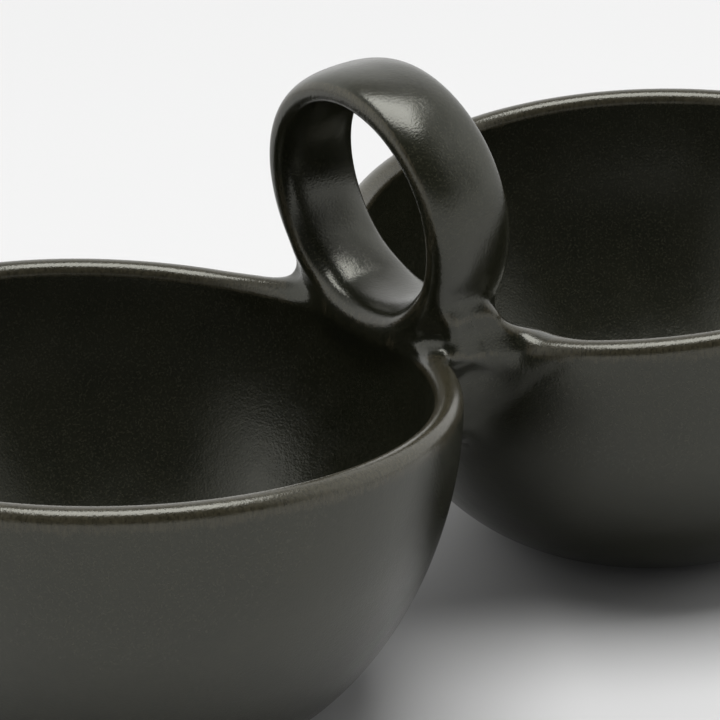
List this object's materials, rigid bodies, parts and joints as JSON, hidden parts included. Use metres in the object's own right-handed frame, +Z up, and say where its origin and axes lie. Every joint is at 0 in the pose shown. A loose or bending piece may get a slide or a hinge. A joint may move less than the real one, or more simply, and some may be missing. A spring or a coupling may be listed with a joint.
{
  "type": "double snack bowl",
  "caption": "Round stoneware bowls joined rim to rim under a standing finger ring, in a dark satin glaze, for serving snacks side by side and carrying by the ring.",
  "frame": {"origin": "on the table, midway between the bowl centres, at the centre of the bounding box's bottom face", "axes": "+X along the line of the bowl centres, from the left bowl to the right one; +Y away from the viewer, in the plane of the ring; +Z up"},
  "size_m": [0.2424, 0.12, 0.1047],
  "materials": {
    "bowl_glaze": "dark olive to charcoal satin glaze with fine speckle, breaking brown on the rims; bare buff clay on the foot rings",
    "ring_glaze": "the same satin glaze, breaking brown along the ring's edges",
    "saddle_glaze": "the same satin glaze, run together over the joins"
  },
  "bodies": {
    "root": {"left_bowl": "bowl_glaze", "right_bowl": "bowl_glaze", "ring_handle": "ring_glaze", "front_saddle": "saddle_glaze", "rear_saddle": "saddle_glaze", "bridge_web": "saddle_glaze"}
  },
  "joints": []
}
